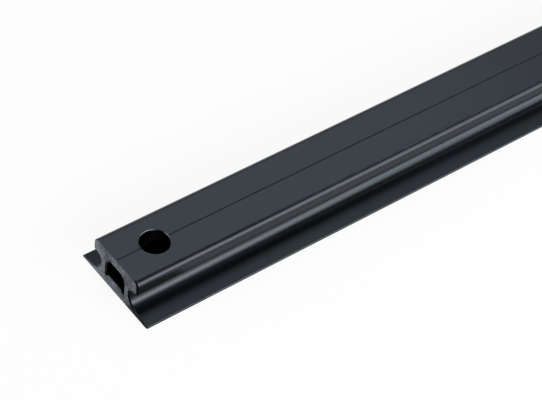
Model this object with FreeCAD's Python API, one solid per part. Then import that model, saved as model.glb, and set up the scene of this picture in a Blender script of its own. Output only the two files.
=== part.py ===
"""Ball-bearing traveller track: one length of black anodised aluminium extrusion.

The section is a flat-topped head on a hollow neck over a wide, thin base flange.
A car wraps round the head and its balls run in the side races, under the head's lips.
Screws drop through the wide holes in the top wall, and their heads sit on the
raised seat along the hollow's floor.

Frame: X along the track, Y across it, Z up. The origin is on the underside, at the
middle of the track's length and width. All sizes are in millimetres.
"""
import FreeCAD
import Part
import math
import os

Vector = FreeCAD.Vector

# Length of stock, and how its sawn ends are broken
length = 1000.0
end_break = 0.5

# Head
height = 21.2
head_width = 32.0
head_corner_radius = 3.4
lip_height = 8.2
lip_corner_radius = 2.0

# Fine line scribed along the middle of the top
centre_line_width = 0.7
centre_line_depth = 0.25

# Neck and side races
neck_width = 20.8
neck_flat_height = 1.45
race_top_radius = 2.4

# Base flange
flange_width = 48.0
flange_edge_thickness = 1.4
flange_slope = 12.0
flange_edge_top_radius = 0.8
flange_edge_bottom_radius = 0.6

# Hollow in the neck, with a raised seat along its floor and a channel on each side of it
hollow_width = 13.6
top_wall = 5.6
seat_height = 7.0
seat_width = 10.0
seat_edge_radius = 0.7
channel_depth = 1.6
channel_floor_width = 1.0
channel_corner_radius = 0.3
hollow_corner_radius = 3.7

# Screw holes, evenly spaced between the two end ones
hole_count = 4
hole_end_distance = 19.5
screw_hole_diameter = 9.0
head_hole_diameter = 13.5
hole_rim_break = 0.3

# How far a cutter runs past the face that it leaves by
run_out = 1.0


def mirrored(half):
    """Closes a half outline, given from the bottom up on the +Y side, with its mirror image."""
    return half + [(-y, z, r) for y, z, r in reversed(half)]


def rounded_outline(corners, x):
    """Makes a closed wire at x from corners (y, z, radius): straight runs joined by tangent arcs."""
    points = [Vector(x, y, z) for y, z, _ in corners]
    edges = []
    starts = []
    ends = []
    middles = []
    for i, (_, _, radius) in enumerate(corners):
        corner = points[i]
        back = (points[i - 1] - corner).normalize()
        onward = (points[(i + 1) % len(points)] - corner).normalize()
        half_angle = back.getAngle(onward) / 2
        reach = radius / math.tan(half_angle)
        starts.append(corner + back * reach)
        ends.append(corner + onward * reach)
        bisector = (back + onward).normalize()
        middles.append(corner + bisector * (radius / math.sin(half_angle) - radius))
    for i, (_, _, radius) in enumerate(corners):
        if radius > 0:
            edges.append(Part.Arc(starts[i], middles[i], ends[i]).toShape())
        edges.append(Part.LineSegment(ends[i], starts[(i + 1) % len(corners)]).toShape())
    return Part.Wire(edges)


def outer_corners():
    """The outside of the section: flange, race and head.

    The flange sweeps up into the neck in one arc, which ends where the neck's short flat begins.
    """
    flange_half = flange_width / 2
    neck_half = neck_width / 2
    head_half = head_width / 2
    slope = math.radians(flange_slope)
    root = flange_edge_thickness + (flange_half - neck_half) * math.tan(slope)
    lip_underside = height - lip_height
    sweep_reach = lip_underside - race_top_radius - neck_flat_height - root
    sweep_radius = sweep_reach * math.tan((math.pi / 2 + slope) / 2)
    return mirrored([
        (flange_half, 0, flange_edge_bottom_radius),
        (flange_half, flange_edge_thickness, flange_edge_top_radius),
        (neck_half, root, sweep_radius),
        (neck_half, lip_underside, race_top_radius),
        (head_half, lip_underside, lip_corner_radius),
        (head_half, height, head_corner_radius),
    ])


def hollow_corners():
    """The hollow: seat, the channels beside it, side walls and rounded ceiling."""
    hollow_half = hollow_width / 2
    channel_floor = seat_height - channel_depth
    return mirrored([
        (seat_width / 2, seat_height, seat_edge_radius),
        (hollow_half - channel_floor_width, channel_floor, channel_corner_radius),
        (hollow_half, channel_floor, channel_corner_radius),
        (hollow_half, height - top_wall, hollow_corner_radius),
    ])


def extrusion():
    """The section carried along the track, with the edges of both sawn ends broken."""
    start = -length / 2
    outside = Part.Face(rounded_outline(outer_corners(), start))
    hollow = Part.Face(rounded_outline(hollow_corners(), start))
    section = outside.cut(hollow).Faces[0]
    bar = section.extrude(Vector(length, 0, 0))
    end_edges = [edge for edge in bar.Edges if edge.BoundBox.XLength < end_break / 2]
    return bar.makeChamfer(end_break, end_edges)


def centre_line_cutter():
    """A vee along the whole top."""
    top_half = centre_line_width / 2 * (1 + run_out / centre_line_depth)
    start = -length / 2 - run_out
    vee = Part.makePolygon([
        Vector(start, 0, height - centre_line_depth),
        Vector(start, top_half, height + run_out),
        Vector(start, -top_half, height + run_out),
        Vector(start, 0, height - centre_line_depth),
    ])
    return Part.Face(vee).extrude(Vector(length + 2 * run_out, 0, 0))


def screw_cutter(x):
    """One screw's way in: a clearance hole in the seat, and a wider hole in the top wall for its head."""
    screw_radius = screw_hole_diameter / 2
    head_radius = head_hole_diameter / 2
    inside = (seat_height + height - top_wall) / 2
    rim = height - hole_rim_break
    outline = Part.makePolygon([
        Vector(0, 0, -run_out),
        Vector(screw_radius, 0, -run_out),
        Vector(screw_radius, 0, inside),
        Vector(head_radius, 0, inside),
        Vector(head_radius, 0, rim),
        Vector(head_radius + hole_rim_break + run_out, 0, height + run_out),
        Vector(0, 0, height + run_out),
        Vector(0, 0, -run_out),
    ])
    cutter = Part.Face(outline).revolve(Vector(0, 0, 0), Vector(0, 0, 1), 360)
    return cutter.translated(Vector(x, 0, 0))


def hole_places():
    """Where the screw holes lie along the track."""
    first = -length / 2 + hole_end_distance
    pitch = (length - 2 * hole_end_distance) / (hole_count - 1)
    return [first + i * pitch for i in range(hole_count)]


def track_rail():
    """The whole track: the broken-edged bar, less its scribed line and its screw holes."""
    rail = extrusion().cut(centre_line_cutter())
    for x in hole_places():
        rail = rail.cut(screw_cutter(x))
    return rail.Solids[0]


rail = track_rail()
os.makedirs("parts", exist_ok=True)
rail.exportStep("parts/track_rail.step")
print("track_rail", rail.isValid(), "volume mm3", round(rail.Volume, 1), "box", rail.BoundBox)
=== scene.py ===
"""Looks of a black anodised ball-bearing traveller track, lying on a pale studio floor.

The track runs along X, with Y across it and Z up, and its origin is on the underside in the
middle. Its skin is one fine mesh, worked out from the same section, broken ends, scribed
line and screw holes as the solid that it stands for. Lengths are in metres.
"""
import math

import bmesh
import bpy
import numpy as np
from mathutils import Matrix, Vector
from mathutils.geometry import tessellate_polygon


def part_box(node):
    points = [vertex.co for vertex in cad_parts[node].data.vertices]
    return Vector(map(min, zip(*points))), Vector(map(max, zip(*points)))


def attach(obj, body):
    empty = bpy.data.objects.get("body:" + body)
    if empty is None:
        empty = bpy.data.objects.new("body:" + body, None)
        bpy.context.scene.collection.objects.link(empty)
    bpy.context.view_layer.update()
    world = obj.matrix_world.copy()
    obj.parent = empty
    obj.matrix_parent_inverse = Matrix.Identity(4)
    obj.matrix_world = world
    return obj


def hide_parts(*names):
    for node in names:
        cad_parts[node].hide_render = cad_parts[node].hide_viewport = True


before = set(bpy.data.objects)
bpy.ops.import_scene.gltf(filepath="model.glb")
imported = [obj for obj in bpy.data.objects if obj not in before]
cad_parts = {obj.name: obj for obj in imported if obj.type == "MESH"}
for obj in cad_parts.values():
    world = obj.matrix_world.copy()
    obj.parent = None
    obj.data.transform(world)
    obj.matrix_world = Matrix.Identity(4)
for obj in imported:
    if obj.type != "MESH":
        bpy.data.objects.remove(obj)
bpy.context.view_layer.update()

MM = 0.001

# Overall size, from the frame
track_low, track_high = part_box("track_rail")
length = track_high.x - track_low.x
flange_width = track_high.y - track_low.y
height = track_high.z

# Head, with the fine line scribed along the middle of its top
head_width = 32.0 * MM
head_corner_radius = 3.4 * MM
lip_height = 8.2 * MM
lip_corner_radius = 2.0 * MM
centre_line_width = 0.7 * MM
centre_line_depth = 0.25 * MM

# Neck and side races
neck_width = 20.8 * MM
neck_flat_height = 1.45 * MM
race_top_radius = 2.4 * MM

# Base flange
flange_edge_thickness = 1.4 * MM
flange_slope = math.radians(12.0)
flange_edge_top_radius = 0.8 * MM
flange_edge_bottom_radius = 0.6 * MM

# Hollow in the neck, with a raised seat along its floor and a channel on each side of it
hollow_width = 13.6 * MM
top_wall = 5.6 * MM
seat_height = 7.0 * MM
seat_width = 10.0 * MM
seat_edge_radius = 0.7 * MM
channel_depth = 1.6 * MM
channel_floor_width = 1.0 * MM
channel_corner_radius = 0.3 * MM
hollow_corner_radius = 3.7 * MM
hollow_middle = (seat_height + height - top_wall) / 2

# Screw holes, evenly spaced between the two end ones
hole_count = 4
hole_end_distance = 19.5 * MM
screw_hole_radius = 4.5 * MM
head_hole_radius = 6.75 * MM
hole_rim_break = 0.3 * MM

# Broken edges of the sawn ends: how deep they go along X at most, and how wide they are, outside
# and in the hollow, where they face neither +Y nor -Y. Facing +Y they lack saw_lean of that width,
# so they stay crisp there, and facing -Y they have that much more
break_depth = 0.5 * MM
outer_break = 0.57 * MM
hollow_break = 0.45 * MM
saw_lean = 0.9

# Edges rounded more tightly than worn_radius are lighter with wear, by worn_share. The head's top
# corners are lighter with a painted sheen, wholly where they lean from level by the lean below, and
# less up to the spread below to each side of that
worn_radius = 1.0 * MM
worn_share = 0.15
sheen_lean = math.radians(25)
sheen_spread = math.radians(18)

# How the skin is drawn: points on each arc and half hole, how near points are when they are joined,
# and by how much an edge turns to stay sharp
arc_samples = 33
hole_samples = 65
weld_distance = 0.002 * MM
sharp_angle = math.radians(15)

# Which of the track's two finishes its sawn ends have
sawn_finish = 1

# The camera's view. All directions are an azimuth and an elevation in degrees: azimuth 0 looks
# along +Y and 90 along -X. The lens is in millimetres, on Blender's usual sensor
camera_azimuth = -43.647
camera_elevation = 46.916
camera_roll = 8.660
camera_distance = 895.03 * MM
camera_aim = Vector((-410.34, 7.22, 0)) * MM
camera_lens = 132.86
camera_clip_start = 10 * MM

# Soft lamps: the point on the track's axis that each one faces, its azimuth and elevation from
# there, its distance, width and height, how bright its face is, and its colour
lamps = {
    "side_softbox": (0.35, 0, 30, 1.2, 3.1, 0.64, 3.1, "#fffaf7"),
    "near_softbox": (-0.48, 0, 25, 1.2, 1.45, 0.43, 4.8, "#fffaf7"),
    "overhead_softbox": (0.125, 180, 65, 1.2, 1.25, 1.0, 1.62, "#ffffff"),
    "top_strip": (1.08, 0, 80, 1.2, 1.65, 0.21, 1.87, "#ffffff"),
    "low_strip": (1.08, 0, 7.5, 1.2, 1.65, 0.32, 5.5, "#ffffff"),
    "far_softbox": (0.5, 180, 30, 1.2, 3.1, 0.5, 0.4, "#ffffff"),
    "end_softbox": (-0.5, -122, 27, 1.0, 0.6, 0.5, 4.0, "#ffffff"),
}


def mirrored(half):
    """Closes a half outline, given from the bottom up on the +Y side, with its mirror image."""
    return half + [(-y, z, radius) for y, z, radius in reversed(half)]


def outer_corners():
    """The outside of the section: flange, race and head.

    The flange sweeps up into the neck in one arc, which ends where the neck's short flat begins.
    """
    flange_half = flange_width / 2
    neck_half = neck_width / 2
    head_half = head_width / 2
    root = flange_edge_thickness + (flange_half - neck_half) * math.tan(flange_slope)
    lip_underside = height - lip_height
    sweep_reach = lip_underside - race_top_radius - neck_flat_height - root
    sweep_radius = sweep_reach * math.tan((math.pi / 2 + flange_slope) / 2)
    return mirrored([
        (flange_half, 0.0, flange_edge_bottom_radius),
        (flange_half, flange_edge_thickness, flange_edge_top_radius),
        (neck_half, root, sweep_radius),
        (neck_half, lip_underside, race_top_radius),
        (head_half, lip_underside, lip_corner_radius),
        (head_half, height, head_corner_radius),
    ])


def hollow_corners():
    """The hollow: seat, the channels beside it, side walls and rounded ceiling."""
    hollow_half = hollow_width / 2
    channel_floor = seat_height - channel_depth
    return mirrored([
        (seat_width / 2, seat_height, seat_edge_radius),
        (hollow_half - channel_floor_width, channel_floor, channel_corner_radius),
        (hollow_half, channel_floor, channel_corner_radius),
        (hollow_half, height - top_wall, hollow_corner_radius),
    ])


def rounded_outline(corners):
    """A closed outline of straight runs joined by tangent arcs.

    Its rows are y, z and the y and z of the normal. The corners are y, z and radius, anticlockwise
    seen from +X. Along a corner's arc the heading turns evenly from the run before to the run
    after, and the normal is the heading less a quarter turn. The point is the arc's start plus the
    radius times the change of the normal, and minus that where the outline turns clockwise.
    """
    corners = np.array(corners)
    points = corners[:, :2]
    radius = corners[:, 2:]
    run = np.roll(points, -1, axis=0) - points
    heading_after = np.arctan2(run[:, 1], run[:, 0])[:, None]
    heading_before = np.roll(heading_after, 1, axis=0)
    turn = (heading_after - heading_before + math.pi) % (2 * math.pi) - math.pi
    reach = radius * np.tan(np.abs(turn) / 2)
    start = points - reach * np.hstack([np.cos(heading_before), np.sin(heading_before)])
    heading = heading_before + turn * np.linspace(0, 1, arc_samples)
    normal = np.stack([np.sin(heading), -np.cos(heading)], axis=-1)
    bend = (np.sign(turn) * radius)[:, :, None]
    sample = start[:, None] + bend * (normal - normal[:, :1])
    return np.concatenate([sample, normal], axis=-1).reshape(-1, 4)


def with_rows(outline, top_rows, floor_rows):
    """Adds to an outline the points that lie on the edges of the holes.

    The two middle arcs and the run between them, over which y falls steadily, get points at
    top_rows by interpolation. The last run, which closes the outline level along its bottom,
    gets points at floor_rows.
    """
    first = len(outline) // 2 - arc_samples
    last = len(outline) // 2 + arc_samples
    top = outline[first:last]
    added = np.column_stack([np.interp(-top_rows, -top[:, 0], column) for column in top.T])
    top = np.unique(np.vstack([top, added]), axis=0)[::-1]
    floor = np.tile(outline[-1], (len(floor_rows), 1))
    floor[:, 0] = floor_rows
    return np.vstack([outline[:first], top, outline[last:], floor])


def scribed_depth(y):
    """How deep the scribed line's vee lies below the top at y.

    It is deepest at the middle, and falls evenly to none at half the line's width.
    """
    return centre_line_depth * np.clip(1 - np.abs(y) / (centre_line_width / 2), 0, 1)


def rim_radius(y):
    """The radius of a head hole's edge in the top: the hole's, and what the vee leaves of the rim.

    That is the rim's break less the vee's depth, and never less than 0.
    """
    return head_hole_radius + np.clip(hole_rim_break - scribed_depth(y), 0, hole_rim_break)


def circle_rows(radius):
    """The y of points evenly spaced round half a circle, from -radius to +radius."""
    return radius * np.sin(np.linspace(-math.pi / 2, math.pi / 2, hole_samples))


def half_chord(y, radius):
    """Half the length, along X, of a circle's chord at y, and none outside the circle."""
    return np.sqrt(np.maximum(radius**2 - y**2, 0))


def ring(rows, radius):
    """x and y round a hole, anticlockwise seen from above.

    It goes up the rows of y on the +X side, half a chord from the middle, and back down on the
    other side.
    """
    x = half_chord(rows, radius)
    return np.concatenate([x, -x[::-1]]), np.concatenate([rows, rows[::-1]])


def hole_places():
    """Where the screw holes lie along the track."""
    first = -length / 2 + hole_end_distance
    return np.linspace(first, -first, hole_count)


def even_break(facing):
    """How wide the sawn end's broken edge is where it faces neither +Y nor -Y.

    facing is 1 outside and -1 in the hollow, here and below.
    """
    return outer_break if facing > 0 else hollow_break


def end_outline(outline, facing):
    """The y and z of an outline on the flat of the sawn end, inside its broken edge.

    Each point is moved in by the edge's even width, against the normal, and then towards +Y by
    saw_lean of that width. So the edge's width is its even one times 1 less saw_lean times the y of
    the way that it faces.
    """
    even = even_break(facing)
    moved = outline[:, :2] - facing * even * outline[:, 2:]
    return moved + [saw_lean * even, 0]


def skin(outline, hole_radius, facing, depth):
    """The outline carried along X, as a grid of points: rows round it, columns along the track.

    The first and last columns are the sawn ends, inside the broken edges, and the ones next to them
    are the shoulders where those begin. A broken edge is as deep along X as it is wide, but at most
    break_depth. Each hole has two columns, half its chord before and after its middle, so that it
    lies between them. depth lowers the points of the scribed line, which runs out on the broken
    edge.
    """
    y, z, normal_y, _ = outline.T
    end_y, end_z = end_outline(outline, facing).T
    width = even_break(facing) * (1 - saw_lean * facing * normal_y)
    end = np.full_like(y, length / 2)
    shoulder = end - np.minimum(width, break_depth) + depth
    side = np.tile([-1, 1], hole_count)
    hole_edges = np.repeat(hole_places(), 2)[:, None] + np.outer(side, half_chord(y, hole_radius))
    x = np.vstack([-end, -shoulder, hole_edges, shoulder, end])
    at_end = np.abs(x) == end
    y = np.where(at_end, end_y, y)
    z = np.where(at_end, end_z, z - depth)
    return np.stack([x.T, y.T, z.T], axis=-1)


def grid_faces(points):
    """The faces of a grid of points: each goes one row on, one column on, and back.

    So it faces along the step between rows crossed with the step between columns.
    """
    index = np.arange(points.shape[0] * points.shape[1]).reshape(points.shape[:2])
    return np.stack([index[:-1, :-1], index[1:, :-1], index[1:, 1:], index[:-1, 1:]], axis=-1)


def painted_shade_on_break(outline, facing):
    """How much painted shade darkens the broken edge between each two rows.

    Outside it is half of 1 less the y of the way that the edge faces, so that the painted shade is
    full facing -Y and none facing +Y, and in the hollow it is 1.
    """
    facing_y = (outline[:-1, 2] + outline[1:, 2]) / 2
    return (1 - facing_y) / 2 if facing > 0 else np.ones_like(facing_y)


def edge_wear_and_sheen(outline):
    """How worn the skin is between each two rows, with a painted sheen on the head's top corners.

    It is worn_share where the outline turns on a radius under worn_radius, which is the step over
    the turn. On the head's top corners the painted sheen makes it 1 less how far the lean from
    level is from the sheen's lean, as a share of the sheen's spread, and never less than 0.
    """
    step = np.hypot(*np.diff(outline[:, :2], axis=0).T)
    turn = np.hypot(*np.diff(outline[:, 2:], axis=0).T)
    tight = np.where((turn > 0) & (step < worn_radius * turn), worn_share, 0.0)
    _, z, normal_y, normal_z = (outline[:-1] + outline[1:]).T / 2
    lean = np.arctan2(np.abs(normal_y), normal_z)
    # Painted sheen, full where the lean is the sheen's own and fading over its spread
    corner_sheen = np.clip(1 - np.abs(lean - sheen_lean) / sheen_spread, 0, 1)
    return np.maximum(tight, np.where(z > height - head_corner_radius, corner_sheen, 0.0))


def skin_patch(outline, hole_radius, facing, depth):
    """A skin's points, and its faces without those over the holes.

    With them go, for each face, whether it is round, how much painted shade darkens it, and its
    wear with the painted sheen of the head's top corners. hole_radius and depth are functions of
    the outline's y and z.
    """
    outline = np.vstack([outline, outline[:1]])
    points = skin(outline, hole_radius(*outline.T[:2]), facing, depth(*outline.T[:2]))
    faces = grid_faces(points)
    rows, columns = faces.shape[:2]
    turns = np.any(np.diff(outline[:, 2:], axis=0) != 0, axis=1)
    is_round = np.repeat(turns[:, None], columns, axis=1)
    # The hollow's whole skin gets full painted shade, and each broken edge the painted shade that
    # goes with the way it faces
    darkened = np.full((rows, columns), 0.0 if facing > 0 else 1.0)
    darkened[:, [0, -1]] = painted_shade_on_break(outline, facing)[:, None]
    # Wear, and the painted sheen on the head's top corners; the broken edges have neither
    worn = np.repeat(edge_wear_and_sheen(outline)[:, None], columns, axis=1)
    worn[:, [0, -1]] = 0
    # After the broken edge and the run up to the first hole, every second column is over a hole
    over_holes = 2 + 2 * np.arange(hole_count)
    kept = [np.delete(values, over_holes, axis=1) for values in (faces, is_round, darkened, worn)]
    return points.reshape(-1, 3), kept[0].reshape(-1, 4), *(values.ravel() for values in kept[1:])


def outside_patch(outside):
    """The outer skin: the head's holes and the scribed line above, the screws' holes below."""
    return skin_patch(
        outside,
        lambda y, z: np.where(z > hollow_middle, rim_radius(y), screw_hole_radius),
        1,
        lambda y, z: np.where(z > hollow_middle, scribed_depth(y), 0),
    )


def hollow_patch(hollow):
    """The hollow's skin, which faces into the hollow, so its faces are turned round."""
    points, faces, *looks = skin_patch(
        hollow,
        lambda y, z: np.where(z > hollow_middle, head_hole_radius, screw_hole_radius),
        -1,
        lambda y, z: np.zeros_like(y),
    )
    return points, faces[:, ::-1], *looks


def hole_patch(*levels):
    """The wall of a hole, in bands between its rings at several levels, the top one first.

    The last band is the bored wall, made darkest with painted shade. A band above it is a broken
    rim, lighter with wear. All the faces are round.
    """
    points = np.stack([np.column_stack(level) for level in levels], axis=1)
    faces = grid_faces(points)
    darkened = np.zeros(faces.shape[:2])
    darkened[:, -1] = 1
    darkened = darkened.ravel()
    return points.reshape(-1, 3), faces.reshape(-1, 4), np.ones(darkened.size, bool), darkened, 1 - darkened


def head_hole_patch(place, rim_rows, ceiling):
    """The hole for a screw's head: from the top in over the broken rim, and down to the ceiling.

    The wall has a point straight in from each point of the edge, and ends at the height that the
    hollow's ceiling has at that point's y.
    """
    edge_x, edge_y = ring(rim_rows, rim_radius(rim_rows))
    edge_z = height - scribed_depth(edge_y)
    angle = np.arctan2(edge_y, edge_x)
    wall_x = place + head_hole_radius * np.cos(angle)
    wall_y = head_hole_radius * np.sin(angle)
    rim_z = np.minimum(edge_z, height - hole_rim_break)
    ceiling_z = np.interp(wall_y, ceiling[::-1, 0], ceiling[::-1, 1])
    return hole_patch(
        (place + edge_x, edge_y, edge_z),
        (wall_x, wall_y, rim_z),
        (wall_x, wall_y, ceiling_z),
    )


def screw_hole_patch(place, rows):
    """The hole for a screw, from the seat down to the underside."""
    x, y = ring(rows, screw_hole_radius)
    return hole_patch(
        (place + x, y, np.full_like(y, seat_height)),
        (place + x, y, np.zeros_like(y)),
    )


def end_patch(outside, hollow, side):
    """The flat of a sawn end, in triangles between the broken edges of the outside and the hollow.

    side is 1 for the end at +X and -1 for the other. The triangles all face the same way, and are
    turned round together where that is inwards.
    """
    rings = [end_outline(outside, 1), end_outline(hollow, -1)]
    in_millimetres = [[Vector(point) for point in edge / MM] for edge in rings]
    triangles = np.array(tessellate_polygon(in_millimetres))
    flat = np.vstack(rings)
    a, b, c = flat[triangles].transpose(1, 0, 2)
    doubled_area = (b - a)[:, 0] * (c - a)[:, 1] - (b - a)[:, 1] * (c - a)[:, 0]
    if doubled_area.sum() * side < 0:
        triangles = triangles[:, ::-1]
    points = np.column_stack([np.full(len(flat), side * length / 2), flat])
    count = len(triangles)
    return points, triangles, np.zeros(count, bool), np.zeros(count), np.zeros(count)


def track_patches():
    """The patches of the track's surface: those of its skin and holes, and those of its sawn ends.

    Patches that meet share their points, so the outline has rows of its own where the holes' edges,
    the scribed line and the hollow's ceiling need them.
    """
    scribed_half = centre_line_width / 2
    vee_meets_rim = scribed_half * max(0, 1 - hole_rim_break / centre_line_depth)
    scribed_rows = [-scribed_half, -vee_meets_rim, 0, vee_meets_rim, scribed_half]
    rim = head_hole_radius + hole_rim_break
    ceiling_y, ceiling_z = rounded_outline(hollow_corners())[:, :2].T
    over_hole = (ceiling_z > hollow_middle) & (np.abs(ceiling_y) < head_hole_radius)
    ceiling_arc_rows = ceiling_y[over_hole] * rim / head_hole_radius
    rim_rows = np.unique(np.concatenate([circle_rows(rim), scribed_rows, ceiling_arc_rows]))
    edge_x, edge_y = ring(rim_rows, rim_radius(rim_rows))
    ceiling_rows = np.unique(head_hole_radius * np.sin(np.arctan2(edge_y, edge_x)))
    screw_rows = circle_rows(screw_hole_radius)
    outside = with_rows(rounded_outline(outer_corners()), rim_rows, screw_rows)
    hollow = with_rows(rounded_outline(hollow_corners()), ceiling_rows, screw_rows)
    ceiling = hollow[hollow[:, 1] > hollow_middle]
    patches = [outside_patch(outside), hollow_patch(hollow)]
    for place in hole_places():
        patches.append(head_hole_patch(place, rim_rows, ceiling))
        patches.append(screw_hole_patch(place, screw_rows))
    ends = [end_patch(outside, hollow, side) for side in (-1, 1)]
    return patches, ends


def track_mesh():
    """The whole skin as one closed mesh.

    Round faces are smooth and flat ones flat, and the sawn ends have a finish of their own.
    """
    patches, ends = track_patches()
    points = []
    faces = []
    first = 0
    for patch_points, patch_faces, *_ in patches + ends:
        points.append(patch_points)
        faces += (patch_faces + first).tolist()
        first += len(patch_points)
    is_round, darkened, worn = (
        np.concatenate([patch[i] for patch in patches + ends]) for i in (2, 3, 4)
    )
    end_face_count = sum(len(patch[1]) for patch in ends)
    finish = np.zeros(len(faces), np.int32)
    finish[-end_face_count:] = sawn_finish
    mesh = bpy.data.meshes.new("track_section")
    mesh.from_pydata(np.vstack(points).tolist(), [], faces)
    mesh.polygons.foreach_set("use_smooth", is_round)
    mesh.polygons.foreach_set("material_index", finish)
    # The painted shade, and the wear with its painted sheen, go to the material as face attributes
    for name, values in (("painted_shade", darkened), ("edge_wear_and_sheen", worn)):
        look = mesh.attributes.new(name, "FLOAT", "FACE")
        look.data.foreach_set("value", values.astype(np.float32))
    welded = bmesh.new()
    welded.from_mesh(mesh)
    bmesh.ops.remove_doubles(welded, verts=welded.verts, dist=weld_distance)
    sawn = [face for face in welded.faces if face.material_index == sawn_finish]
    inner = [
        edge for edge in welded.edges
        if all(face.material_index == sawn_finish for face in edge.link_faces)
    ]
    bmesh.ops.beautify_fill(welded, faces=sawn, edges=inner)
    welded.to_mesh(mesh)
    welded.free()
    mesh.set_sharp_from_angle(angle=sharp_angle)
    return mesh


def linear(hex_colour):
    """The linear colour of an sRGB hex colour such as "#3c4046"."""
    srgb = np.array([int(hex_colour[i:i + 2], 16) for i in (1, 3, 5)]) / 255
    return (*np.where(srgb > 0.04045, ((srgb + 0.055) / 1.055) ** 2.4, srgb / 12.92).tolist(), 1.0)


def add_node(tree, kind, inputs=None, **settings):
    """Adds a node with its settings.

    inputs gives each socket, by name or number, a value or an output to link.
    """
    made = tree.nodes.new(kind)
    for name, value in settings.items():
        setattr(made, name, value)
    for socket, value in (inputs or {}).items():
        if isinstance(value, bpy.types.NodeSocket):
            tree.links.new(value, made.inputs[socket])
        else:
            made.inputs[socket].default_value = value
    return made


def new_material(name):
    """An empty material and its node tree."""
    material = bpy.data.materials.new(name)
    material.use_nodes = True
    material.node_tree.nodes.clear()
    return material, material.node_tree


def black_anodised_extrusion():
    """Aluminium drawn through a die, etched satin and anodised black.

    The eye sees a soft, dark mirror: faint lines that the die drew along X, clouds of slightly
    greener and bluer dye, a fine etched grain, and a few pale rub marks from the rack. Painted
    shade makes the bored walls and the whole hollow darkest, and the broken edges outside too, most
    where they face -Y. Tight edges are lighter with wear, and the head's top corners with a painted
    sheen.
    """
    material, tree = new_material("black_anodised_extrusion")
    place = add_node(tree, "ShaderNodeTexCoord")
    # How long a mark is along X and how wide round the section, in mm, how finely it is broken up,
    # and where its noise starts. Die lines are 0.05 to 0.3 mm apart, and drawn from 0.4 to 1.6 mm,
    # so that some show. The etched grain is about 0.03 mm, and drawn ten times as coarse
    marks = {
        "die lines": (120, 1.6, 2, (0, 0, 0)),
        "etched grain": (0.3, 0.3, 1, (0, 0, 0)),
        "dye clouds": (45, 16, 2, (20.7, -49.9, 0.3)),
        "rack rubs": (30, 1.2, 3, (0, 0, 0)),
        "worn patches": (5, 2, 2, (0, 0, 0)),
    }
    noise = {}
    for name, (along, across, detail, start) in marks.items():
        scaled = add_node(tree, "ShaderNodeVectorMath", {
            0: place.outputs["Object"],
            1: (1 / (along * MM), 1 / (across * MM), 1 / (across * MM)),
            2: start,
        }, operation="MULTIPLY_ADD")
        noise[name] = add_node(tree, "ShaderNodeTexNoise", {
            "Vector": scaled.outputs[0],
            "Scale": 1.0,
            "Detail": detail,
        })
    # The values of each noise between which its mark goes from none to full
    ranges = {
        "dye clouds": (0.38, 0.58),
        "die lines": (0.3, 0.7),
        "rack rubs": (0.66, 0.78),
        "worn patches": (0.1, 0.7),
    }
    share = {}
    for name, (none, full) in ranges.items():
        share[name] = add_node(tree, "ShaderNodeMapRange", {
            "Value": noise[name].outputs["Fac"],
            "From Min": none,
            "From Max": full,
        }).outputs["Result"]
    # One attribute holds wear with the painted sheen of the head's top corners, the other painted
    # shade
    wear = add_node(tree, "ShaderNodeAttribute", attribute_name="edge_wear_and_sheen")
    depth = add_node(tree, "ShaderNodeAttribute", attribute_name="painted_shade")
    share["edge wear and painted sheen"] = add_node(tree, "ShaderNodeMath", {
        0: wear.outputs["Fac"],
        1: share["worn patches"],
    }, operation="MULTIPLY").outputs[0]
    share["painted shade layer"] = depth.outputs["Fac"]
    # Each layer's colour where its share is full, and how much rougher it is there. The next to
    # last is edge wear with the painted sheen of the head's top corners, and the last is painted
    # shade
    layers = {
        "dye clouds": ("#34373d", 0.02),
        "die lines": ("#34393d", 0.05),
        "rack rubs": ("#383c41", 0.12),
        "edge wear and painted sheen": ("#4b5056", -0.06),
        "painted shade layer": ("#04060b", 0.0),
    }
    # The dye's own colour, to which each layer is added in turn, painted shade and painted sheen
    # among them
    dye = linear("#2e3737")
    roughness = 0.28
    for name, (colour, rougher) in layers.items():
        dye = add_node(tree, "ShaderNodeMix", {
            "Factor": share[name],
            "A": dye,
            "B": linear(colour),
        }, data_type="RGBA").outputs["Result"]
        roughness = add_node(tree, "ShaderNodeMath", {
            0: share[name],
            1: rougher,
            2: roughness,
        }, operation="MULTIPLY_ADD").outputs[0]
    # How high the die lines stand, and the grain's height as a share of theirs
    line_height = 0.006 * MM
    grain_share = 0.12
    relief = add_node(tree, "ShaderNodeMath", {
        0: noise["etched grain"].outputs["Fac"],
        1: grain_share,
        2: noise["die lines"].outputs["Fac"],
    }, operation="MULTIPLY_ADD")
    bump = add_node(tree, "ShaderNodeBump", {"Height": relief.outputs[0], "Distance": line_height})
    finish = add_node(tree, "ShaderNodeBsdfPrincipled", {
        "Base Color": dye,
        "Metallic": 1.0,
        "Roughness": roughness,
        "Normal": bump.outputs["Normal"],
    })
    add_node(tree, "ShaderNodeOutputMaterial", {"Surface": finish.outputs[0]})
    return material


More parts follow.
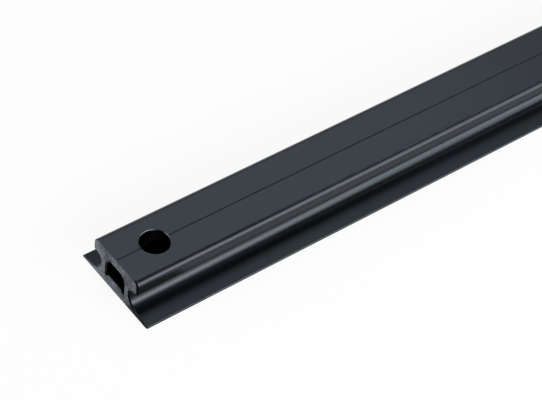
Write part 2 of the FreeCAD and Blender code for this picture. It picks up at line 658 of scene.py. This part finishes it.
def anodised_saw_cut():
    """The same anodised aluminium where it was sawn off.

    The blade's teeth left fine arcs and a torn grain that scatter the light, so the end looks
    paler and mottled, with dark specks where a tooth dug in.
    """
    material, tree = new_material("anodised_saw_cut")
    place = add_node(tree, "ShaderNodeTexCoord").outputs["Object"]
    # The blade is 300 mm across, and its middle passed above the track on the +Y side. Tooth marks
    # are 0.2 to 0.4 mm apart, and drawn three times as coarse. They are a wave, and wander_reach is
    # how many radians of it they wander by
    blade_middle = (0.0, 60 * MM, 140 * MM)
    tooth_spacing = 0.9 * MM
    wander_reach = 9.0
    # The sizes of the torn grain, of the specks and of the slow drift in tone, and where the
    # drift's noise starts. The drift is random tone, and its start is placed so that it leaves the
    # end paler on its +Y lip, painted light there
    grain_size = 0.75 * MM
    speck_size = 1.3 * MM
    drift_size = 7 * MM
    drift_start = (-0.092, -0.077, 0.133)
    # How much the arcs and the drift add to the grain's tone, and how high the marks stand
    arc_weight = 0.05
    drift_weight = -0.5
    mark_height = 0.03 * MM
    across_x = add_node(tree, "ShaderNodeVectorMath", {
        0: place,
        1: (0.0, 1.0, 1.0),
    }, operation="MULTIPLY")
    reach = add_node(tree, "ShaderNodeVectorMath", {
        0: across_x.outputs[0],
        1: blade_middle,
    }, operation="DISTANCE")
    torn = add_node(tree, "ShaderNodeTexNoise", {
        "Vector": place,
        "Scale": 1 / grain_size,
        "Detail": 3.0,
    })
    specks = add_node(tree, "ShaderNodeTexNoise", {
        "Vector": place,
        "Scale": 1 / speck_size,
        "Detail": 1.0,
    })
    shifted = add_node(tree, "ShaderNodeVectorMath", {0: place, 1: drift_start}, operation="ADD")
    drift = add_node(tree, "ShaderNodeTexNoise", {
        "Vector": shifted.outputs[0],
        "Scale": 1 / drift_size,
        "Detail": 1.0,
    })
    phase = add_node(tree, "ShaderNodeMath", {
        0: reach.outputs["Value"],
        1: 2 * math.pi / tooth_spacing,
    }, operation="MULTIPLY")
    wander = add_node(tree, "ShaderNodeMath", {
        0: drift.outputs["Fac"],
        1: wander_reach,
        2: phase.outputs[0],
    }, operation="MULTIPLY_ADD")
    arcs = add_node(tree, "ShaderNodeMath", {0: wander.outputs[0]}, operation="SINE")
    marks = add_node(tree, "ShaderNodeMath", {
        0: arcs.outputs[0],
        1: arc_weight,
        2: torn.outputs["Fac"],
    }, operation="MULTIPLY_ADD")
    patchy = add_node(tree, "ShaderNodeMath", {
        0: drift.outputs["Fac"],
        1: drift_weight,
        2: marks.outputs[0],
    }, operation="MULTIPLY_ADD")
    # The end goes from its dark tone to its pale one as the marks' sum goes from 0.15 to 0.42, the
    # specks cover up to 0.7 of it, and the torn grain makes it rougher
    shade = add_node(tree, "ShaderNodeMapRange", {
        "Value": patchy.outputs[0],
        "From Min": 0.15,
        "From Max": 0.42,
    })
    tone = add_node(tree, "ShaderNodeMix", {
        "Factor": shade.outputs["Result"],
        "A": linear("#3b4047"),
        "B": linear("#80878f"),
    }, data_type="RGBA")
    dug_in = add_node(tree, "ShaderNodeMapRange", {
        "Value": specks.outputs["Fac"],
        "From Min": 0.60,
        "From Max": 0.70,
        "To Max": 0.7,
    })
    darkened = add_node(tree, "ShaderNodeMix", {
        "Factor": dug_in.outputs["Result"],
        "A": tone.outputs["Result"],
        "B": linear("#25282c"),
    }, data_type="RGBA")
    roughness = add_node(tree, "ShaderNodeMapRange", {
        "Value": torn.outputs["Fac"],
        "From Min": 0.3,
        "From Max": 0.7,
        "To Min": 0.52,
        "To Max": 0.68,
    })
    relief = add_node(tree, "ShaderNodeBump", {"Height": marks.outputs[0], "Distance": mark_height})
    finish = add_node(tree, "ShaderNodeBsdfPrincipled", {
        "Base Color": darkened.outputs["Result"],
        "Metallic": 1.0,
        "Roughness": roughness.outputs["Result"],
        "Normal": relief.outputs["Normal"],
    })
    add_node(tree, "ShaderNodeOutputMaterial", {"Surface": finish.outputs[0]})
    return material


def track():
    """The track's one piece, in place of the solid."""
    mesh = track_mesh()
    mesh.materials.append(black_anodised_extrusion())
    mesh.materials.append(anodised_saw_cut())
    piece = bpy.data.objects.new("track_section", mesh)
    bpy.context.scene.collection.objects.link(piece)
    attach(piece, "root")
    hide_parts("track_rail")


def studio_floor():
    """White paper that keeps the track's shadow, and a low white wall a long way round it.

    Three square loops of corners, from the middle out, carry the floor, its outer part and the
    wall. The paper lies a hair below the track. plain_share of what is seen of it, in the metal
    too, is plain white, and the rest is lit paper.
    """
    floor_half = 3.0
    wall_away = 25.0
    wall_height = 6.0
    gap = 0.02 * MM
    plain_share = 0.9
    mesh = bpy.data.meshes.new("floor")
    loops = ((floor_half, -gap), (wall_away, -gap), (wall_away, wall_height))
    square = ((-1, -1), (1, -1), (1, 1), (-1, 1))
    corners = [(x * half, y * half, z) for half, z in loops for x, y in square]
    sides = ((0, 1), (1, 2), (2, 3), (3, 0))
    bands = [(i + a, i + a + 4, i + b + 4, i + b) for i in (0, 4) for a, b in sides]
    mesh.from_pydata(corners, [], [(0, 1, 2, 3)] + bands)
    material, tree = new_material("white_paper")
    paper = add_node(tree, "ShaderNodeBsdfDiffuse", {"Color": linear("#f4f4f4")})
    plain = add_node(tree, "ShaderNodeEmission", {"Strength": 1.0})
    rays = add_node(tree, "ShaderNodeLightPath").outputs
    in_gloss_or_glass = add_node(tree, "ShaderNodeMath", {
        0: rays["Is Glossy Ray"],
        1: rays["Is Transmission Ray"],
    }, operation="MAXIMUM")
    seen = add_node(tree, "ShaderNodeMath", {
        0: rays["Is Camera Ray"],
        1: in_gloss_or_glass.outputs[0],
    }, operation="MAXIMUM")
    share = add_node(tree, "ShaderNodeMath", {
        0: seen.outputs[0],
        1: plain_share,
    }, operation="MULTIPLY")
    mixed = add_node(tree, "ShaderNodeMixShader", {
        0: share.outputs[0],
        1: paper.outputs[0],
        2: plain.outputs[0],
    })
    add_node(tree, "ShaderNodeOutputMaterial", {"Surface": mixed.outputs[0]})
    mesh.materials.append(material)
    floor = bpy.data.objects.new("floor", mesh)
    bpy.context.scene.collection.objects.link(floor)


def dark_reflection_card():
    """A grey card beside the near end, which only the metal mirrors: a painted dark reflection that
    keeps the side dark there, in place of shade.

    It lies between the paper and the track's underside.
    """
    low = Vector((-560, -100)) * MM
    high = Vector((-468, -8)) * MM
    z = -0.01 * MM
    mesh = bpy.data.meshes.new("dark_reflection_card")
    corners = [(low.x, low.y, z), (high.x, low.y, z), (high.x, high.y, z), (low.x, high.y, z)]
    mesh.from_pydata(corners, [], [(0, 1, 2, 3)])
    material, tree = new_material("dark_reflection_paper")
    paper = add_node(tree, "ShaderNodeBsdfDiffuse", {"Color": linear("#7c7c7c")})
    add_node(tree, "ShaderNodeOutputMaterial", {"Surface": paper.outputs[0]})
    mesh.materials.append(material)
    card = bpy.data.objects.new("dark_reflection_card", mesh)
    # The camera, shadows and diffuse light pass through the card, so all it does is paint a dark
    # reflection
    card.visible_camera = False
    card.visible_shadow = False
    card.visible_diffuse = False
    bpy.context.scene.collection.objects.link(card)


def studio_room():
    """A dark room over the white wall, with a little blue fill light."""
    world = bpy.data.worlds.new("studio_room")
    world.use_nodes = True
    tree = world.node_tree
    tree.nodes.clear()
    fill_strength = 0.06
    fill = add_node(tree, "ShaderNodeBackground", {
        "Color": linear("#6f9ff5"),
        "Strength": fill_strength,
    })
    add_node(tree, "ShaderNodeOutputWorld", {"Surface": fill.outputs[0]})
    bpy.context.scene.world = world


def towards(azimuth, elevation):
    """The direction from the track to what looks at it from that azimuth and elevation."""
    a = math.radians(azimuth)
    e = math.radians(elevation)
    return Vector((math.sin(a) * math.cos(e), -math.cos(a) * math.cos(e), math.sin(e)))


def softbox(name, along, azimuth, elevation, distance, width, tall, brightness, colour):
    """A soft rectangular lamp, which faces the point at x = along on the track's axis.

    Its power is the brightness of its face times pi times its area.
    """
    direction = towards(azimuth, elevation)
    lamp = bpy.data.lights.new(name, "AREA")
    lamp.shape = "RECTANGLE"
    lamp.size = width
    lamp.size_y = tall
    lamp.energy = brightness * math.pi * width * tall
    lamp.color = linear(colour)[:3]
    box = bpy.data.objects.new(name, lamp)
    box.rotation_euler = direction.to_track_quat("Z", "Y").to_euler()
    box.location = Vector((along, 0, 0)) + distance * direction
    bpy.context.scene.collection.objects.link(box)


def photo_camera():
    """The camera, at the photograph's view of the track's near end.

    It stands camera_distance back from camera_aim, upright and then turned by its roll.
    """
    back = towards(camera_azimuth, camera_elevation)
    azimuth = math.radians(camera_azimuth)
    right = Vector((math.cos(azimuth), math.sin(azimuth), 0))
    upright = Matrix((right, back.cross(right), back)).transposed()
    turn = upright @ Matrix.Rotation(math.radians(camera_roll), 3, "Z")
    lens = bpy.data.cameras.new("photo_camera")
    lens.lens = camera_lens
    lens.clip_start = camera_clip_start
    camera = bpy.data.objects.new("photo_camera", lens)
    camera.matrix_world = Matrix.Translation(camera_aim + camera_distance * back) @ turn.to_4x4()
    bpy.context.scene.collection.objects.link(camera)
    bpy.context.scene.camera = camera


track()
studio_floor()
studio_room()
dark_reflection_card()
for lamp_name, lamp_setting in lamps.items():
    softbox(lamp_name, *lamp_setting)
photo_camera()
bpy.context.scene.view_settings.view_transform = "Standard"
